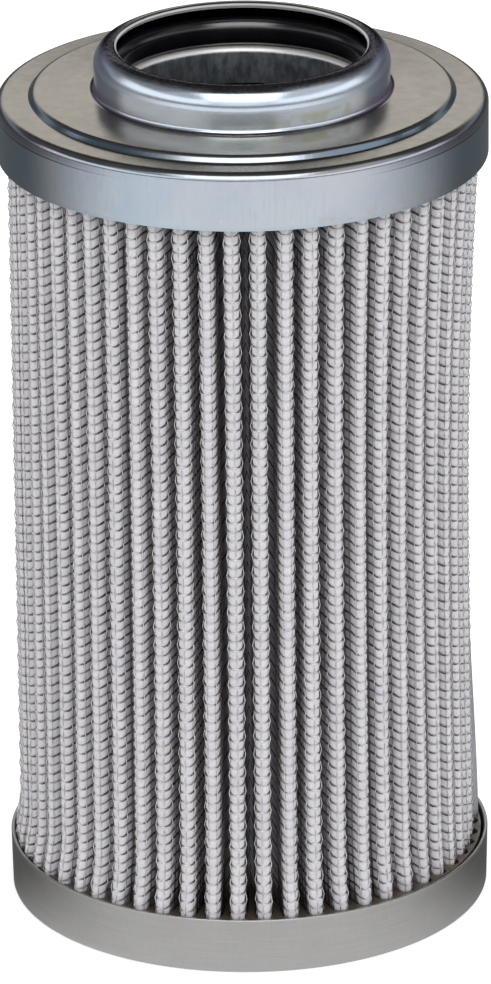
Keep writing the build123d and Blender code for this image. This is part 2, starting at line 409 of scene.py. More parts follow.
def waist(bearing, height):
    """How far the crowns stand inward: the handled pack is drawn in, most on the photograph's right side,
    and elsewhere its foot spreads to the rim."""
    rise = np.clip((height - WAIST_LOW) / (WAIST_HIGH - WAIST_LOW), 0, 1)
    drawn_in = WAIST_DEPTH * np.sin(pi * rise ** WAIST_SKEW) * (1 + np.sin(bearing)) / 2
    spread = FOOT_FLARE * (1 - smooth_step(height, BOTTOM_CAP_HEIGHT, FOOT_FLARE_TOP))
    return drawn_in - spread * (1 - np.clip(np.sin(bearing), 0, 1) ** 2)


def folds_at(heights):
    """For each crown and height: the crown's centre, the direction of its arc's middle and half its sweep.
    Heights have a row for each crown, or one row for all."""
    bearing = crown_bearings()[:, None]
    root_after = root_bearings()[:, None]
    root_before = np.roll(root_after, 1, axis=0)
    root_before[0] -= 2 * pi
    centre = polar(CROWN_CIRCLE - waist(bearing, heights), bearing)
    far = flank_direction(centre, polar(ROOT_CIRCLE, root_after), 1)
    near = flank_direction(centre, polar(ROOT_CIRCLE, root_before), -1)
    sweep = np.mod(far - near, 2 * pi)
    return centre, near + sweep / 2, sweep / 2


def flank_direction(centre, root, side):
    """The heading across a flank, away from its pleat's middle."""
    run = root - centre
    length = np.hypot(run[..., 0], run[..., 1])
    return np.arctan2(run[..., 1], run[..., 0]) - side * np.arccos(FOLDS / length)


def over_crowns(folds, along, depth, lift=0.0):
    """Points at a distance along the developed outline from each crown's middle, at a depth below the outer
    face. Shapes are crown, height, place along. Returns the points and the outward directions, both flat."""
    centre, middle, half_sweep = folds
    fold = CROWN_RADIUS - depth
    half_arc = (fold * half_sweep)[..., None]
    on_arc = np.clip(along, -half_arc, half_arc)
    heading = middle[..., None] + on_arc / fold
    outward = np.stack([np.cos(heading), np.sin(heading)], axis=-1)
    onward = np.stack([-outward[..., 1], outward[..., 0]], axis=-1)
    lifted = np.broadcast_to(np.asarray(fold + lift), on_arc.shape)
    spot = centre[:, :, None, :] + lifted[..., None] * outward + (along - on_arc)[..., None] * onward
    return spot, outward


def with_height(flat, heights):
    """Adds the third coordinate to flat points."""
    tall = np.broadcast_to(heights, flat.shape[:-1])[..., None]
    return np.concatenate([flat, tall], axis=-1)


def quads(index, after):
    """Faces between a grid of point numbers and the same grid one step on."""
    corners = [index[:, :-1], after[:, :-1], after[:, 1:], index[:, 1:]]
    return np.stack(corners, axis=-1).reshape(-1, 4).tolist()


def tubes(paths, outward, radius, sides=WIRE_SIDES):
    """Closed round wires along paths. Both arrays have the shape wire, point, coordinate."""
    onward = np.gradient(paths, axis=1)
    onward /= np.linalg.norm(onward, axis=-1, keepdims=True)
    across = np.cross(onward, outward)
    across /= np.linalg.norm(across, axis=-1, keepdims=True)
    upward = np.cross(across, onward)
    turns = 2 * pi * np.arange(sides) / sides
    ring = upward[..., None, :] * np.cos(turns)[:, None] + across[..., None, :] * np.sin(turns)[:, None]
    points = (paths[..., None, :] + radius * ring).reshape(-1, 3)
    count, length = paths.shape[:2]
    index = np.arange(count * length * sides).reshape(count, length, sides)
    ends = np.concatenate([index[:, 0, ::-1], index[:, -1]])
    return points, quads(index, np.roll(index, -1, axis=2)) + ends.tolist()


def wire_phase():
    """Where each crown's middle falls between two lengthwise wires, in wire pitches."""
    crowns = np.arange(PLEAT_COUNT)
    return np.mod(FIRST_PHASE + PHASE_STEP * crowns, 1.0) - 0.5


def rises(samples):
    """Places up the cloth in wire pitches, at some fractions of each pitch."""
    count = int((CLOTH_HIGH - CLOTH_LOW) / WIRE_PITCH) + 1
    return (np.arange(count)[:, None] + np.asarray(samples)[None, :]).ravel()


def row_heights(rise):
    """The height of each place up the cloth, on each crown: the rows wander slightly round the pack."""
    drift = ROW_DRIFT * np.sin(ROW_DRIFT_WAVES * crown_bearings() + ROW_DRIFT_START)
    return CLOTH_LOW + WIRE_PITCH * np.asarray(rise)[None, :] + drift[:, None]


def sag(along):
    """How far a crosswise wire hangs down at a distance from the crown's middle."""
    return ROW_SAG * (1 - np.clip(np.abs(along) / SAG_REACH, 0, 1) ** 2)


def flat_normals(outward):
    return np.concatenate([outward, np.zeros(outward.shape[:-1] + (1,))], axis=-1)


def crosswise_wires(material):
    """The wires that run round each crown and down its flanks, over and under the lengthwise ones, in four
    pieces. Each point keeps how far from the crown it is, and whether its wire is over or under."""
    rows = rises([0.0])
    heights = row_heights(rows)
    places = np.concatenate([-DOWN_FLANK[::-1], ROUND_CROWN, DOWN_FLANK])
    along = np.broadcast_to(places * WIRE_PITCH, (PLEAT_COUNT, len(rows), len(places)))
    over = np.cos(pi * (places - wire_phase()[:, None, None] + rows[None, :, None]))
    spots, outward = over_crowns(folds_at(heights), along, WIRE_DEPTH, CROSSWISE_WEAVE * over)
    paths = with_height(spots, heights[..., None] - sag(along))
    normals = flat_normals(outward)
    for number, crowns in enumerate(np.array_split(np.arange(PLEAT_COUNT), 4)):
        shape = (len(crowns) * len(rows), len(places), 3)
        points, faces = tubes(paths[crowns].reshape(shape), normals[crowns].reshape(shape), WIRE_RADIUS)
        replaced = ["outer_wire_mesh"] if number == 0 else []
        name = f"crosswise_wires_{number + 1}"
        piece = make_object(name, points, faces, material, replaced)
        keep_values(piece, "from_crown", np.repeat(np.abs(along)[crowns].ravel(), WIRE_SIDES))
        keep_values(piece, "over", np.repeat(over[crowns].ravel(), WIRE_SIDES))


def lengthwise_wires(material, name, numbers, rise, weave_depth):
    """Wires that run up the pleats, counted in wire pitches from each crown's middle."""
    heights = row_heights(rise)
    folds = folds_at(heights)
    paths = []
    normals = []
    for number in numbers:
        along = ((wire_phase() + number) * WIRE_PITCH)[:, None, None] * np.ones((1, len(rise), 1))
        weave = -weave_depth * np.cos(pi * (number + rise))[None, :, None]
        spots, outward = over_crowns(folds, along, WIRE_DEPTH, weave)
        paths.append(with_height(spots, heights[..., None] - sag(along))[:, :, 0])
        normals.append(flat_normals(outward)[:, :, 0])
    points, faces = tubes(np.concatenate(paths), np.concatenate(normals), WIRE_RADIUS)
    make_object(name, points, faces, material)


def wires(material, bright):
    """The woven cloth. The wires that run up the crowns get a paler copy of the wire steel, a painted
    highlight.
    """
    crosswise_wires(material)
    lengthwise_wires(bright, "crown_wires", CROWN_WIRES, rises([0.0, 0.5]), LENGTHWISE_WEAVE)
    all_wires = range(CROWN_WIRES.start - FLANK_WIRES, CROWN_WIRES.stop + FLANK_WIRES)
    on_flanks = [number for number in all_wires if number not in CROWN_WIRES]
    lengthwise_wires(material, "flank_wires", on_flanks, rises([0.0])[::FLANK_WIRE_ROWS], 0.0)


def on_the_cloth(places, rows):
    """Distances from each crown's middle, with shape crown, height, place."""
    along = (places + wire_phase()[:, None]) * WIRE_PITCH
    return np.broadcast_to(along[:, None, :], (PLEAT_COUNT, rows, len(places)))


def pleated_sheet(depth, heights, places, lift=0.0, hang=0.0):
    """Points of the pack's outline at a depth, with shape crown, height, place. Places are wire pitches from
    each crown's lengthwise wire, and the last point is the root after the crown."""
    rows = heights.shape[1]
    spots, _ = over_crowns(folds_at(heights), on_the_cloth(places, rows), depth, lift)
    root = polar(ROOT_CIRCLE - (ROOT_RADIUS - PACK_THICKNESS + depth), root_bearings())
    root = np.broadcast_to(root[:, None, None, :], (PLEAT_COUNT, rows, 1, 2))
    points = with_height(np.concatenate([spots, root], axis=2), heights[..., None])
    points[:, :, :-1, 2] -= hang
    return points


def sheet_faces(index, closed):
    """Faces over a grid of point numbers with shape round, height. A closed grid joins its ends."""
    after = np.roll(index, -1, axis=0)
    if not closed:
        index, after = index[:-1], after[:-1]
    return quads(index, after)


def pillow(along, rise):
    """How far the fleece stands out: most in the middle of each opening, and less beside the crown."""
    reach = np.clip(np.abs(along) / PILLOW_REACH, 0, 1)
    fullness = 1 - (1 - PILLOW_ON_FLANK) * reach ** 2
    between_rows = np.sqrt(np.abs(np.sin(pi * rise)))[None, :, None]
    between_wires = PILLOW_AT_WIRE + (1 - PILLOW_AT_WIRE) * np.abs(np.sin(pi * FLEECE_PLACES))
    return fullness * (SNUG + PILLOW * between_rows * between_wires)


def places_on_cloth(along, rise):
    """What each point of the fleece keeps for its material: wire pitches along and up, and millimetres from
    the crown. The last column is the root."""
    places = np.zeros((PLEAT_COUNT, len(rise), len(FLEECE_PLACES) + 1, 3))
    places[..., 0] = np.append(FLEECE_PLACES, FLEECE_PLACES[-1])
    places[..., 1] = rise[None, :, None]
    places[..., :-1, 2] = np.abs(along)
    places[..., -1, 2] = 2 * FLEECE_PLACES[-1] * WIRE_PITCH
    return places


def joined(columns, first, last):
    """The columns of some crowns, closed by the next crown's first column."""
    part = columns[first:last].reshape(-1, *columns.shape[2:])
    return np.concatenate([part, columns[last % PLEAT_COUNT, :1]])


def outer_fleece(material):
    """The fleece that shows between the wires, pressed outward through each opening, in two halves."""
    rise = rises(FLEECE_RISES)
    along = on_the_cloth(FLEECE_PLACES, len(rise))
    grid = pleated_sheet(FLEECE_DEPTH, row_heights(rise), FLEECE_PLACES, pillow(along, rise), sag(along))
    columns = grid.transpose(0, 2, 1, 3)
    kept = places_on_cloth(along, rise).transpose(0, 2, 1, 3)
    half = PLEAT_COUNT // 2
    for name, first, last in (("fleece_right", 0, half), ("fleece_left", half, PLEAT_COUNT)):
        part = joined(columns, first, last)
        index = np.arange(part.shape[0] * part.shape[1]).reshape(part.shape[:2])
        faces = sheet_faces(index, closed=False)
        replaced = ["outer_fleece"] if first == 0 else []
        piece = make_object(name, part.reshape(-1, 3), faces, material, replaced)
        keep_values(piece, "on_cloth", joined(kept, first, last), "FLOAT_VECTOR", "vector")


def inner_layer(name, node, slot, depth, thickness, light, dark):
    """A hidden layer of the pack, as a closed thin wall of plain cloth."""
    heights = np.linspace(PACK_BOTTOM, PACK_TOP, INNER_ROWS)[None, :]
    outside = pleated_sheet(depth, heights, INNER_PLACES).transpose(0, 2, 1, 3).reshape(-1, 3)
    inside = pleated_sheet(depth + thickness, heights, INNER_PLACES).transpose(0, 2, 1, 3).reshape(-1, 3)
    index = np.arange(len(outside)).reshape(-1, INNER_ROWS)
    wrap = np.concatenate([index, index[:, ::-1] + len(outside), index[:, :1]], axis=1)
    faces = sheet_faces(wrap, closed=True)
    points = np.concatenate([outside, inside])
    make_object(name, points, faces, plain_cloth(slot, light, dark), [node], sharp=60)


def seam_outline():
    """The strip's closed outline: how far out from its outer face, and how far to the side."""
    half = CROWN_RADIUS + SEAM_SHEET
    outline = []
    for bend, flip in ((half, 1), (half - SEAM_SHEET, -1)):
        angles = np.radians(np.linspace(-90, 90, SEAM_BEND_POINTS))[::flip]
        bow = [(bend * cos(a) - half, bend * sin(a)) for a in angles]
        outline += [(-half - SEAM_LEG, bow[0][1])] + bow + [(-half - SEAM_LEG, bow[-1][1])]
    return np.array(outline)


def seam_strip(material):
    """A steel strip folded over the pack's last pleat. Low down it stands further out than the crowns."""
    heights = np.linspace(BOTTOM_CAP_HEIGHT - SEAM_IN_CAP, TOP_SKIRT_EDGE + SEAM_IN_CAP, SEAM_ROWS)
    flare = SEAM_FLARE * (1 - smooth_step(heights, BOTTOM_CAP_HEIGHT, SEAM_FLARE_TOP))
    bearing = radians(SEAM_BEARING)
    crown = CROWN_CIRCLE + CROWN_RADIUS - waist(bearing, heights)
    reach = crown + SEAM_PROUD + flare
    outline = seam_outline()
    radial = np.array([sin(bearing), -cos(bearing)])
    tangent = np.array([cos(bearing), sin(bearing)])
    flat = (reach[:, None, None] + outline[None, :, :1]) * radial + outline[None, :, 1:] * tangent
    points = with_height(flat, heights[:, None])
    index = np.arange(points.shape[0] * points.shape[1]).reshape(points.shape[:2]).T
    ends = [index[:, 0].tolist(), index[::-1, -1].tolist()]
    faces = [face[::-1] for face in sheet_faces(index, closed=True)] + ends
    points = points.reshape(-1, 3)
    make_object("seam_strip", points, faces, material, ["side_seam_strip"], sharp=40)


def cell_border(sides):
    """Points round a square cell of the perforated tube, one unit wide."""
    side = np.linspace(-0.5, 0.5, sides // 4 + 1)[:-1]
    border = [(s, -0.5) for s in side] + [(0.5, s) for s in side]
    border += [(-s, 0.5) for s in side] + [(-0.5, -s) for s in side]
    return np.array(border)


def core_tube(material):
    """The perforated tube, with rows of round holes set off by half a pitch. The points of a cell run round
    its outer border, the hole's two rims and its inner border."""
    rows = int((CORE_TOP - PACK_BOTTOM) / CORE_ROW_PITCH)
    first = CORE_TOP - rows * CORE_ROW_PITCH
    inner_radius = CORE_RADIUS - CORE_SHEET
    middle_radius = CORE_RADIUS - CORE_SHEET / 2
    width = 2 * pi * middle_radius / CORE_HOLES_ROUND
    border = cell_border(CORE_HOLE_SIDES) * (width, CORE_ROW_PITCH)
    rim = CORE_HOLE_RADIUS * border / np.linalg.norm(border, axis=1, keepdims=True)
    loops = ((CORE_RADIUS, border), (CORE_RADIUS, rim), (inner_radius, rim), (inner_radius, border))
    points = []
    for row in range(rows):
        height = first + CORE_ROW_PITCH * (row + 0.5)
        for place in range(CORE_HOLES_ROUND):
            turn = 2 * pi * (place + 0.5 * (row % 2)) / CORE_HOLES_ROUND
            for radius, loop in loops:
                flat = polar(radius, turn + loop[:, 0] / middle_radius)
                points.append(with_height(flat, height + loop[:, 1]))
    points = np.concatenate(points)
    index = np.arange(len(points)).reshape(-1, len(loops), CORE_HOLE_SIDES)
    faces = quads(index, np.roll(index, -1, axis=2))
    replaced = ["core_tube"]
    make_object("perforated_core", points, faces, material, replaced, sharp=30, weld=True)


def place_camera():
    """The photograph's view, without shift."""
    elevation = radians(CAMERA_ELEVATION)
    back = Vector((0, -cos(elevation), sin(elevation)))
    target = Vector((CAMERA_TARGET_SIDE, 0, CAMERA_TARGET_HEIGHT)) * MM
    data = bpy.data.cameras.new("camera")
    data.sensor_width = CAMERA_SENSOR
    data.lens = CAMERA_LENS
    data.clip_start = CAMERA_NEAR * MM
    data.clip_end = CAMERA_FAR * MM
    camera = add_object("camera", data)
    camera.location = target + back * CAMERA_DISTANCE * MM
    camera.rotation_mode = "QUATERNION"
    camera.rotation_quaternion = Quaternion(back, -CAMERA_ROLL) @ (-back).to_track_quat("-Z", "Y")
    bpy.context.scene.camera = camera


class Tree:
    """A node tree. An input is a value, or another node's socket."""

    def __init__(self, owner):
        self.owner = owner
        owner.use_nodes = True
        self.nodes = owner.node_tree.nodes
        self.links = owner.node_tree.links
        self.nodes.clear()

    def add(self, kind, inputs=(), **settings):
        node = self.nodes.new(kind)
        for key, value in settings.items():
            setattr(node, key, value)
        for key, value in dict(inputs).items():
            if isinstance(value, bpy.types.NodeSocket):
                self.links.new(value, node.inputs[key])
            else:
                node.inputs[key].default_value = value
        return node

    def math(self, operation, *values):
        return self.add("ShaderNodeMath", enumerate(values), operation=operation).outputs[0]

    def gather(self, operation, first, *others):
        """An operation over some values, one after another."""
        for other in others:
            first = self.math(operation, first, other)
        return first

    def times(self, *values):
        return self.gather("MULTIPLY", *values)

    def plus(self, *values):
        return self.gather("ADD", *values)

    def most(self, *values):
        """The largest of some values."""
        return self.gather("MAXIMUM", *values)

    def less(self, first, second):
        return self.math("SUBTRACT", first, second)

    def size(self, value):
        """The value without its sign."""
        return self.math("ABSOLUTE", value)

    def blend(self, first, first_share, second):
        """A weighted mean of two values."""
        return self.plus(self.times(first, first_share), self.times(second, 1.0 - first_share))

    def mix(self, factor, first, second):
        """A colour between two colours."""
        colours = [c if isinstance(c, bpy.types.NodeSocket) else (*c, 1) for c in (first, second)]
        inputs = {0: factor, 6: colours[0], 7: colours[1]}
        return self.add("ShaderNodeMix", inputs, data_type="RGBA").outputs[2]

    def paint(self, colour, tint, *shares):
        """A colour with a tint laid over it, as strongly as the product of some shares."""
        return self.mix(self.times(*shares), colour, tint)

    def ramp(self, value, low, high, start=0.0, end=1.0):
        """A smooth step from start to end, as the value goes from low to high."""
        inputs = {0: value, 1: low, 2: high, 3: start, 4: end}
        return self.add("ShaderNodeMapRange", inputs, interpolation_type="SMOOTHSTEP").outputs[0]

    def fall(self, value, low, high, start=1.0):
        """A smooth step down to nothing, as the value goes from low to high."""
        return self.ramp(value, low, high, start, 0.0)

    def band(self, value, low, high, soft):
        """One between low and high, falling to nothing over a soft margin outside them."""
        return self.times(self.ramp(value, low - soft, low), self.fall(value, high, high + soft))

    def place(self):
        """The point on the piece, in metres."""
        return self.add("ShaderNodeTexCoord").outputs["Object"]

    def noise(self, scale, detail=4.0, roughness=0.6, spot=None):
        """Noise at a point, or else at the place on the piece. The scale is in lumps to a metre."""
        if spot is None:
            spot = self.place()
        inputs = {"Vector": spot, "Scale": scale, "Detail": detail, "Roughness": roughness}
        return self.add("ShaderNodeTexNoise", inputs).outputs[0]

    def kept(self, name, output="Fac"):
        """A value that the piece's points keep."""
        return self.add("ShaderNodeAttribute", attribute_name=name).outputs[output]

    def split(self, vector):
        return self.add("ShaderNodeSeparateXYZ", {0: vector}).outputs

    def vector(self, x, y, z):
        return self.add("ShaderNodeCombineXYZ", {0: x, 1: y, 2: z}).outputs[0]

    def round_axis(self):
        """The radius and the height in millimetres, and the direction from the axis: across, from left to
        right, along, from front to back, and side, which is across without its sign."""
        x, y, z = self.split(self.place())
        radius = self.math("SQRT", self.plus(self.times(x, x), self.times(y, y)))
        across = self.math("DIVIDE", x, radius)
        along = self.math("DIVIDE", y, radius)
        side = self.size(across)
        radius = self.times(radius, 1 / MM)
        height = self.times(z, 1 / MM)
        return SimpleNamespace(radius=radius, height=height, across=across, along=along, side=side)

    def streaks(self, at, round_scale, length, length_scale):
        """Noise on a turned surface, with its own scales round the axis and along a length."""
        x = self.times(at.across, round_scale)
        y = self.times(at.along, round_scale)
        spot = self.vector(x, y, self.times(length, length_scale))
        return self.noise(1.0, spot=spot)

    def bump(self, height, strength, distance):
        """A relief on the surface. The distance is in millimetres."""
        inputs = {"Height": height, "Strength": strength, "Distance": distance * MM}
        return self.add("ShaderNodeBump", inputs).outputs[0]

    def rays(self):
        """Whether a ray comes from the camera, straight or through glass, and whether metal mirrors it."""
        path = self.add("ShaderNodeLightPath").outputs
        return self.most(path["Is Camera Ray"], path["Is Transmission Ray"]), path["Is Glossy Ray"]

    def finish(self, inputs):
        """Closes a material with one shader, and returns the material."""
        shader = self.add("ShaderNodeBsdfPrincipled", inputs)
        self.add("ShaderNodeOutputMaterial", {0: shader.outputs[0]})
        return self.owner


def surface(name):
    """The node tree of a new material."""
    return Tree(bpy.data.materials.new(name))


def zinc_textures(tree):
    """The place on the open cap, with the noises and the areas that its marks share."""
    at = tree.round_axis()
    at.cloud = tree.noise(90.0)
    at.fleck = tree.noise(420.0, 3.0, 0.65)
    at.speck = tree.noise(2600.0, 2.0, 0.6)
    at.spun = tree.streaks(at, 3.0, at.radius, 9.0)
    at.drawn = tree.streaks(at, 70.0, at.height, 0.35)
    up = tree.split(tree.add("ShaderNodeNewGeometry").outputs["Normal"])[2]
    at.upright = tree.fall(up, 0.76, 0.94)
    at.on_collar = tree.fall(at.radius, COLLAR_NECK_RADIUS + 0.45, COLLAR_NECK_RADIUS + 0.7)
    at.on_roll = tree.times(at.on_collar, tree.ramp(up, 0.62, 0.78), tree.fall(at.along, 0.3, 0.8))
    return at


def zinc_flats(tree, at):
    """The tan of the flats, in soft patches: the zinc's tint with painted reflection laid in."""
    dark_tan = (0.30, 0.27, 0.225)
    light_tan = (0.365, 0.335, 0.28)
    return tree.mix(tree.ramp(tree.blend(at.cloud, 0.5, at.fleck), *CRISP), dark_tan, light_tan)


def zinc_walls(tree, at):
    """The blue of the upright faces: streaked and tarnished on the skirt, with painted reflection that makes
    it paler on the collar and deeper at the outline and at the sides of the step."""
    blue = tree.mix(tree.ramp(at.cloud, *GENTLE), (0.47, 0.54, 0.62), (0.54, 0.60, 0.66))
    streaked = (0.43, 0.50, 0.57)
    blue = tree.paint(blue, streaked, tree.ramp(at.drawn, 0.45, 0.75, 0.0, 0.5))
    tarnish = tree.noise(38.0, 3.0, 0.6)
    lilac_grey = (0.57, 0.58, 0.62)
    blue = tree.paint(blue, lilac_grey, tree.ramp(tarnish, 0.46, 0.62, 0.0, 0.75))
    clean_blue = (0.40, 0.51, 0.60)
    blue = tree.paint(blue, clean_blue, tree.fall(tarnish, 0.34, 0.44, 0.5))
    # Painted reflection: the collar's upright faces are paler
    pale_blue = (0.68, 0.77, 0.88)
    blue = tree.paint(blue, pale_blue, at.on_collar)
    # Painted reflection: the step's slope is bluer towards the sides
    step_blue = (0.36, 0.48, 0.62)
    on_step = tree.band(at.radius, STEP_FOOT_RADIUS - 1.2, STEP_FOOT_RADIUS + 0.4, 0.1)
    blue = tree.paint(blue, step_blue, on_step, tree.ramp(at.side, 0.25, 0.6))
    # Painted reflection: the skirt is a deeper blue towards the outline
    outline_blue = (0.38, 0.50, 0.60)
    outline = tree.ramp(at.side, 0.75, 0.97)
    return tree.paint(blue, outline_blue, outline, tree.less(1.0, at.on_collar))


def zinc_collar(tree, at, colour):
    """The collar's painted reflections: a dark mottled top, violet sides, a purple foot, a grey-blue front
    wall and olive patches at the right."""
    # Painted reflection: the roll's top is darker and speckled, at the front and the sides
    painted_dark_reflection = tree.mix(tree.ramp(at.speck, 0.35, 0.7), (0.09, 0.085, 0.10), (0.26, 0.26, 0.28))
    colour = tree.paint(colour, painted_dark_reflection, at.on_roll, tree.ramp(at.fleck, 0.3, 0.65, 0.97, 0.78))
    # Painted reflection: violet on the collar's upright sides towards the outline
    violet = (0.33, 0.37, 0.54)
    outline = tree.ramp(at.side, 0.80, 0.97)
    colour = tree.paint(colour, violet, at.on_collar, at.upright, outline, 0.8)
    # Painted reflection: purple at the collar's foot, towards the sides
    purple = (0.24, 0.15, 0.26)
    foot = tree.fall(at.height, RAISED_FACE + 0.5, RAISED_FACE + 2.2)
    colour = tree.paint(colour, purple, at.on_collar, foot, tree.ramp(at.side, 0.45, 0.85), 0.5)
    # Painted reflection: a darker grey-blue wall between roll and foot, at the front and the back
    grey_blue = (0.42, 0.50, 0.58)
    front = tree.fall(at.side, 0.05, 0.4)
    below_roll = tree.fall(at.height, OVERALL_HEIGHT - 3.6, OVERALL_HEIGHT - 3.0)
    above_foot = tree.ramp(at.height, RAISED_FACE + 0.9, RAISED_FACE + 1.6)
    uneven = tree.ramp(at.fleck, 0.3, 0.6, 1.0, 0.7)
    colour = tree.paint(colour, grey_blue, at.on_collar, front, below_roll, above_foot, uneven)
    # Painted reflection: olive in patches low on the collar's right side
    olive = (0.52, 0.55, 0.33)
    at_right = tree.band(at.across, 0.25, 0.72, 0.2)
    low = tree.band(at.height, RAISED_FACE + 1.1, RAISED_FACE + 2.0, 0.8)
    patches = tree.ramp(at.fleck, 0.42, 0.6)
    return tree.paint(colour, olive, at.on_collar, at_right, low, patches, 0.55)


def zinc_skirt(tree, at, colour):
    """The skirt's marks: a painted dark reflection line below the shoulder with painted mauve shade above
    it, both at the sides, a stain and a blue edge."""
    skirt = tree.ramp(at.radius, CAP_RADIUS - 0.4, CAP_RADIUS - 0.25)
    to_sides = tree.ramp(at.side, 0.45, 0.8)
    wavering = tree.plus(at.height, tree.times(tree.noise(30.0, 3.0, 0.5), 0.35))
    # Painted reflection: a dark line where the shoulder meets the skirt, at the sides
    blue_black = (0.10, 0.12, 0.16)
    painted_dark_line = tree.band(wavering, PLATE_FACE - 1.78, PLATE_FACE - 1.66, 0.1)
    colour = tree.paint(colour, blue_black, skirt, painted_dark_line, to_sides, 0.8)
    # Painted shade: mauve above that line, at the sides
    mauve = (0.30, 0.27, 0.33)
    shade = tree.ramp(wavering, PLATE_FACE - 1.75, PLATE_FACE - 1.2)
    colour = tree.paint(colour, mauve, skirt, shade, to_sides, 0.6)
    straw = (0.50, 0.46, 0.38)
    at_right = tree.band(at.across, 0.35, 0.8, 0.15)
    patches = tree.ramp(at.fleck, 0.45, 0.62)
    low = tree.fall(at.height, TOP_SKIRT_EDGE + 0.3, TOP_SKIRT_EDGE + 2.2, 0.6)
    colour = tree.paint(colour, straw, skirt, at_right, patches, low)
    edge_blue = (0.42, 0.55, 0.66)
    edge = tree.fall(at.height, TOP_SKIRT_EDGE + 0.25, TOP_SKIRT_EDGE + 0.6)
    return tree.paint(colour, edge_blue, skirt, edge, 0.5)


def zinc_plate():
    """Zinc-plated steel with a passivated face: tan on the flats and blue on the upright faces, its tint
    with painted reflection laid in by which way each face points, and violet in the bends, a painted
    reflection. Inside it is painted black for shade, and the lip's edge carries a painted highlight."""
    tree = surface("zinc_plate")
    at = zinc_textures(tree)
    # Tan where a face points up and blue where it stands upright: the passivation's tint with painted
    # reflection
    colour = tree.mix(at.upright, zinc_flats(tree, at), zinc_walls(tree, at))
    colour = zinc_collar(tree, at, colour)
    colour = zinc_skirt(tree, at, colour)
    bright_point = (0.85, 0.85, 0.85)
    colour = tree.paint(colour, bright_point, tree.ramp(at.speck, 0.74, 0.78), 0.7)
    # Painted shade: the cap's inner face is near black
    painted_shade_black = (0.015, 0.014, 0.018)
    colour = tree.paint(colour, painted_shade_black, tree.kept("inside"))
    # Painted highlight: the lip's edge is pale and less metallic
    painted_highlight_edge = (0.80, 0.81, 0.80)
    lip = tree.kept("edge")
    colour = tree.paint(colour, painted_highlight_edge, lip)
    collar_sides = tree.times(at.on_collar, at.upright, tree.ramp(at.side, 0.12, 0.4))
    dull = tree.most(lip, tree.times(collar_sides, 0.35))
    grain = tree.plus(tree.times(at.drawn, at.upright), tree.times(at.spun, tree.less(1.0, at.upright)))
    relief = tree.plus(tree.times(grain, 0.45), tree.times(at.speck, 0.35), tree.times(at.fleck, 0.2))
    return tree.finish({
        "Base Color": colour,
        "Metallic": tree.ramp(dull, 0.0, 1.0, 1.0, 0.35),
        "Roughness": tree.ramp(at.cloud, *GENTLE, 0.16, 0.22),
        # Painted reflection: a dark specular tint on the roll's top
        "Specular Tint": tree.mix(at.on_roll, (1, 1, 1), (0.2, 0.2, 0.22)),
        "Normal": tree.bump(relief, 0.45, 0.04),
    })


def bare_steel():
    """Finely brushed steel, paler at the top of the rim."""
    tree = surface("bare_steel")
    at = tree.round_axis()
    fine = tree.streaks(at, 4.0, at.height, 9.0)
    cross = tree.streaks(at, 110.0, at.height, 0.6)
    cloud = tree.noise(120.0)
    grain = tree.plus(tree.times(fine, 0.6), tree.times(cross, 0.2), tree.times(cloud, 0.2))
    colour = tree.mix(tree.ramp(grain, *CRISP), (0.385, 0.38, 0.37), (0.445, 0.44, 0.43))
    # Paler towards the top of the rim
    pale_rim = (0.62, 0.62, 0.60)
    rim = tree.ramp(at.height, BOTTOM_CAP_HEIGHT - 0.35, BOTTOM_CAP_HEIGHT - 0.05)
    return tree.finish({
        "Base Color": tree.paint(colour, pale_rim, rim, 0.6),
        "Metallic": 1.0,
        "Roughness": tree.ramp(grain, *GENTLE, 0.32, 0.42),
        "Normal": tree.bump(grain, 0.15, 0.04),
    })


def seal_rubber():
    """Oiled black rubber, glossier in front and behind than at its sides."""
    tree = surface("seal_rubber")
    grain = tree.noise(900.0, 3.0, 0.6)
    return tree.finish({
        "Base Color": tree.mix(grain, (0.003, 0.003, 0.005), (0.007, 0.006, 0.009)),
        "IOR": 1.7,
        "Specular IOR Level": tree.ramp(tree.round_axis().side, 0.15, 0.4, 1.0, 0.3),
        "Roughness": tree.ramp(grain, *GENTLE, 0.17, 0.25),
        "Normal": tree.bump(grain, 0.1, 0.03),
    })


def dull_steel(name, dark, light, streaks, metallic=1.0, painted_highlight_above=OVERALL_HEIGHT):
    """Drawn steel with soft streaks along the axis, and a painted highlight above a height."""
    tree = surface(name)
    at = tree.round_axis()
    mottle = tree.noise(500.0)
    grain = tree.blend(tree.streaks(at, streaks, at.height, 0.5), 0.5, mottle)
    # Painted highlight: near white and half metallic above the given height
    bright = (0.92, 0.92, 0.90)
    painted_highlight_band = tree.ramp(at.height, painted_highlight_above - 0.15, painted_highlight_above + 0.15)
    return tree.finish({
        "Base Color": tree.mix(painted_highlight_band, tree.mix(tree.ramp(grain, *CRISP), dark, light), bright),
        "Metallic": tree.ramp(painted_highlight_band, 0.0, 1.0, metallic, 0.5),
        "Roughness": tree.ramp(grain, *GENTLE, 0.3, 0.42),
        "Normal": tree.bump(grain, 0.12, 0.04),
    })


def seam_steel():
    """Satin strip steel."""
    tree = surface("seam_steel")
    cloud = tree.noise(220.0)
    return tree.finish({
        "Base Color": tree.mix(tree.ramp(cloud, *GENTLE), (0.42, 0.44, 0.49), (0.52, 0.54, 0.58)),
        "Metallic": 0.4,
        "Roughness": tree.ramp(cloud, *GENTLE, 0.42, 0.5),
        "Normal": tree.bump(cloud, 0.2, 0.2),
    })


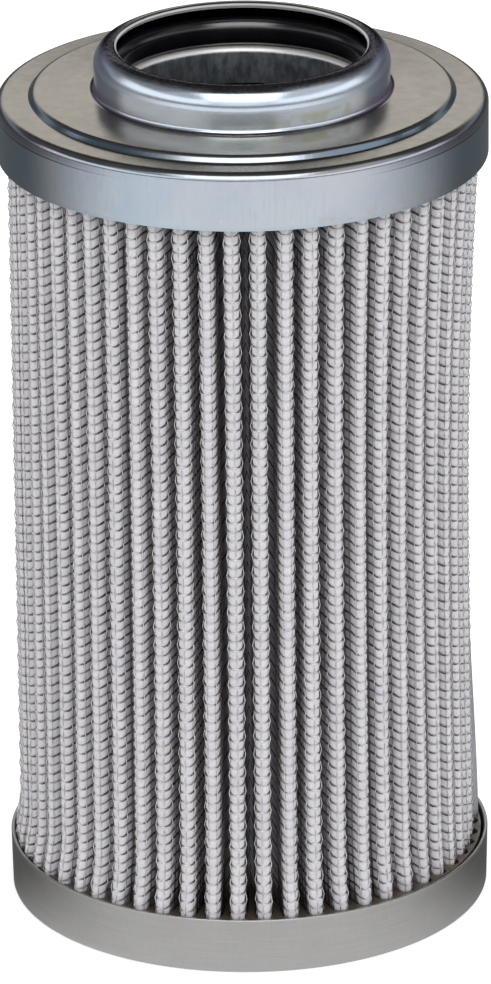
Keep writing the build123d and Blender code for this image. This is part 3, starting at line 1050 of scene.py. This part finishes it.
def wire_steel(name, dark, light):
    """Drawn stainless wire. Painted highlights: crosswise wires are pale near the crown, and bright where
    they pass over.
    """
    tree = surface(name)
    tint = tree.noise(700.0, 2.0, 0.5)
    from_crown = tree.kept("from_crown")
    is_crosswise = tree.ramp(from_crown, 0.0, 0.001)
    # Painted highlight: crosswise wires are pale and barely metallic near the crown
    on_crown = tree.times(tree.fall(from_crown, 0.25, 0.8), is_crosswise)
    # Painted highlight: white specks where a crosswise wire passes over, near the crown
    speck = tree.times(on_crown, tree.ramp(tree.kept("over"), 0.55, 0.9), tree.fall(from_crown, 0.2, 0.7))
    pale = (0.74, 0.72, 0.72)
    white = (1.0, 1.0, 1.0)
    colour = tree.mix(on_crown, tree.mix(tree.ramp(tint, 0.35, 0.65), dark, light), pale)
    return tree.finish({
        "Base Color": tree.paint(colour, white, speck),
        "Metallic": tree.ramp(on_crown, 0.0, 1.0, 1.0, 0.1),
        "Roughness": 0.28,
    })


def painted_wire_shadows(tree, place, rise, from_crown, to_row):
    """How dark the painted shadow under the wires is: darker away from the crown, and at every other row."""
    bowed = tree.times(tree.ramp(from_crown, 0.15, 1.3), 0.06)
    row_line = tree.fall(tree.less(to_row, bowed), 0.03, 0.09)
    every_other = tree.plus(0.72, tree.times(tree.math("COSINE", tree.times(rise, pi)), 0.28))
    row_dark = tree.times(row_line, every_other, tree.ramp(from_crown, 0.15, 0.85, 0.12, 1.0))
    wire_line = tree.fall(tree.math("PINGPONG", place, 0.5), 0.03, 0.09)
    wire_dark = tree.times(wire_line, tree.ramp(from_crown, 0.5, 1.8, 0.1, 0.5))
    return tree.most(row_dark, wire_dark)


def fleece():
    """Spun-bonded fleece, off-white, with painted shadow under the wires, and darkened at its foot by the
    resin and by painted shade that rises up the flanks.
    """
    tree = surface("fleece")
    place, rise, from_crown = tree.split(tree.kept("on_cloth", "Vector"))
    to_row = tree.math("PINGPONG", tree.plus(rise, 0.045), 0.5)
    fibre = tree.noise(2600.0, 4.0, 0.7)
    cloud = tree.noise(250.0, 3.0, 0.6)
    colour = tree.mix(tree.ramp(cloud, *GENTLE), (0.71, 0.70, 0.745), (0.80, 0.79, 0.82))
    between_fibres = (0.58, 0.57, 0.61)
    colour = tree.paint(colour, between_fibres, tree.fall(fibre, 0.32, 0.62, 0.55))
    # Painted shadow: dark lines under the wires
    painted_dark_line = (0.06, 0.05, 0.055)
    colour = tree.paint(colour, painted_dark_line, painted_wire_shadows(tree, place, rise, from_crown, to_row))
    # Darker at the foot: resin soak at the crowns, and painted shade where it rises up the flanks
    soak_and_painted_shade = (0.22, 0.21, 0.20)
    soak_and_shade_top = tree.ramp(from_crown, 0.9, 2.4, BOTTOM_CAP_HEIGHT - 0.9, BOTTOM_CAP_HEIGHT + 1.3)
    above_soak_and_shade = tree.less(tree.round_axis().height, tree.plus(soak_and_shade_top, tree.times(cloud, 0.6)))
    colour = tree.paint(colour, soak_and_painted_shade, tree.fall(above_soak_and_shade, -0.3, 0.3, 0.9))
    puff = tree.blend(tree.ramp(to_row, 0.0, 0.2), 0.6, fibre)
    return tree.finish({
        "Base Color": colour,
        "Roughness": 0.85,
        "Normal": tree.bump(puff, 0.4, 0.06),
    })


def plain_cloth(name, light, dark):
    """A hidden filter layer."""
    tree = surface(name)
    fibre = tree.noise(900.0, 4.0, 0.7)
    return tree.finish({"Base Color": tree.mix(fibre, dark, light), "Roughness": 0.9})


def resin():
    """Dark cast resin with a slightly uneven gloss."""
    tree = surface("resin")
    cloud = tree.noise(400.0)
    return tree.finish({
        "Base Color": tree.mix(cloud, (0.05, 0.04, 0.03), (0.12, 0.095, 0.07)),
        "Roughness": tree.ramp(cloud, *GENTLE, 0.15, 0.35),
        "Normal": tree.bump(cloud, 0.3, 0.2),
    })


def mirrored_room(tree):
    """How bright the room is in metal: a low panel behind, a dark ceiling, a softbox over the front with a
    lower light under it, a ring of light low round the sides and the front, and a weak box at the right."""
    x, y, z = tree.split(tree.add("ShaderNodeTexCoord").outputs["Generated"])
    over = tree.times(tree.math("ARCTAN2", z, y), 180 / pi)
    side = tree.size(x)
    panel = tree.times(tree.band(over, *PANEL, LIGHT_EDGE), tree.ramp(side, 0.2, 0.5, 1.0, 0.3))
    softbox = tree.times(tree.band(over, *SOFTBOX, LIGHT_EDGE), tree.ramp(side, 0.32, 0.52, 2.1, 0.35))
    low_front = tree.times(tree.band(over, *LOW_FRONT, LIGHT_EDGE), tree.fall(side, 0.25, 0.45, 0.95))
    ring = tree.times(tree.band(z, *RING, RING_EDGE), tree.fall(y, 0.15, 0.45),
                      tree.ramp(side, 0.25, 0.45, 0.0, 1.2))
    right_box = tree.times(tree.band(over, *RIGHT_BOX, RIGHT_BOX_EDGE), tree.ramp(x, 0.35, 0.55, 0.0, 0.5))
    return tree.most(right_box, ROOM_LIGHT, panel, softbox, low_front, ring)


def studio_world():
    """White to the camera, an even light on dull surfaces, and a room with softboxes in metal."""
    world = bpy.data.worlds.new("studio")
    bpy.context.scene.world = world
    tree = Tree(world)
    seen, mirrored = tree.rays()
    room = tree.times(mirrored, tree.less(1.0, seen), mirrored_room(tree))
    diffuse = tree.less(1.0, tree.most(seen, mirrored))
    strength = tree.plus(seen, room, tree.times(diffuse, WORLD_LIGHT))
    background = tree.add("ShaderNodeBackground", {"Color": (1, 1, 1, 1), "Strength": strength})
    tree.add("ShaderNodeOutputWorld", {0: background.outputs[0]})


def mirrored_floor(tree):
    """How bright the floor is in metal: white in front, and darker beside and behind the element."""
    at = tree.round_axis()
    front = tree.times(at.along, -1.0)
    back_glow = tree.fall(front, -0.95, -0.6, FLOOR_BACK_GLOW)
    close = tree.plus(tree.ramp(front, -0.1, 0.95, FLOOR_DARK, 1.0), back_glow)
    distant = tree.ramp(front, -0.5, 0.85, FLOOR_DARK, 1.0)
    far = tree.ramp(at.radius, FLOOR_CLOSE, FLOOR_DISTANT)
    return tree.plus(tree.times(close, tree.less(1.0, far)), tree.times(distant, far))


def floor_material():
    """White to the camera, with the element's shadow."""
    tree = surface("floor")
    seen, mirrored = tree.rays()
    white = (1, 1, 1, 1)
    diffuse = tree.add("ShaderNodeBsdfDiffuse", {"Color": (0.85, 0.85, 0.85, 1)})
    glow = tree.add("ShaderNodeEmission", {"Color": white, "Strength": tree.times(seen, FLOOR_LIFT)})
    plain = tree.add("ShaderNodeAddShader", {0: diffuse.outputs[0], 1: glow.outputs[0]})
    in_metal = tree.add("ShaderNodeEmission", {"Color": white, "Strength": mirrored_floor(tree)})
    inputs = {0: mirrored, 1: plain.outputs[0], 2: in_metal.outputs[0]}
    both = tree.add("ShaderNodeMixShader", inputs)
    tree.add("ShaderNodeOutputMaterial", {0: both.outputs[0]})
    return tree.owner


def floor():
    """A square floor just under the element."""
    half = FLOOR_HALF * MM
    corners = [(-half, -half, 0), (half, -half, 0), (half, half, 0), (-half, half, 0)]
    mesh = bpy.data.meshes.new("floor")
    mesh.from_pydata(corners, [], [(0, 1, 2, 3)])
    piece = add_object("floor", mesh)
    piece.location.z = -FLOOR_DROP * MM
    mesh.materials.append(floor_material())


def key_lamp():
    """A soft lamp aimed at the element's middle. Metal sees the room's softboxes in its place."""
    data = bpy.data.lights.new("front_softbox", "AREA")
    data.shape = "RECTANGLE"
    data.size = KEY_WIDTH * MM
    data.size_y = KEY_HEIGHT * MM
    data.energy = KEY_POWER
    piece = add_object("front_softbox", data)
    piece.visible_glossy = False
    piece.location = Vector(KEY_PLACE) * MM
    aim = Vector(KEY_AIM) - Vector(KEY_PLACE)
    piece.rotation_mode = "QUATERNION"
    piece.rotation_quaternion = aim.to_track_quat("-Z", "Y")


def firm_pieces():
    """The caps, the seal and its retainer, the core and the seam strip."""
    top_end_cap(zinc_plate())
    bottom_end_cap(bare_steel())
    seal(seal_rubber())
    # The retainer's bend gets a painted highlight
    retainer(dull_steel("dark_steel", (0.40, 0.45, 0.50), (0.66, 0.70, 0.74), streaks=26.0, metallic=0.95,
                        painted_highlight_above=RAISED_FACE - SLEEVE_HIGHLIGHT_DROP))
    core_tube(dull_steel("core_steel", (0.16, 0.165, 0.17), (0.30, 0.31, 0.32), streaks=20.0))
    seam_strip(seam_steel())


def pleated_pack():
    """The woven cloth, the fleece that shows between its wires, and the hidden layers."""
    # The second wire steel is a paler copy, a painted highlight for the wires up the crowns
    wires(wire_steel("wire_steel", (0.28, 0.24, 0.22), (0.46, 0.42, 0.40)),
          wire_steel("bright_wire", (0.74, 0.71, 0.69), (0.90, 0.88, 0.87)))
    outer_fleece(fleece())
    inner_layer("media_layer", "glass_fibre_media", "media", depth=0.46, thickness=0.2,
                light=(0.8, 0.8, 0.78), dark=(0.7, 0.7, 0.68))
    inner_layer("support_layer", "inner_fleece", "support_fleece", depth=0.68, thickness=0.08,
                light=(0.7, 0.7, 0.7), dark=(0.6, 0.6, 0.6))
    inner_layer("inner_cloth_layer", "inner_wire_mesh", "inner_cloth", depth=0.78, thickness=0.18,
                light=(0.4, 0.38, 0.36), dark=(0.2, 0.18, 0.17))


def dress_nodes():
    """Materials for the solids that show as they are."""
    cast = resin()
    for name in ("top_potting", "bottom_potting"):
        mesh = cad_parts[name].data
        mesh.materials.clear()
        mesh.materials.append(cast)


def main():
    firm_pieces()
    pleated_pack()
    dress_nodes()
    studio_world()
    floor()
    key_lamp()
    place_camera()
    bpy.context.scene.view_settings.view_transform = "Standard"


main()
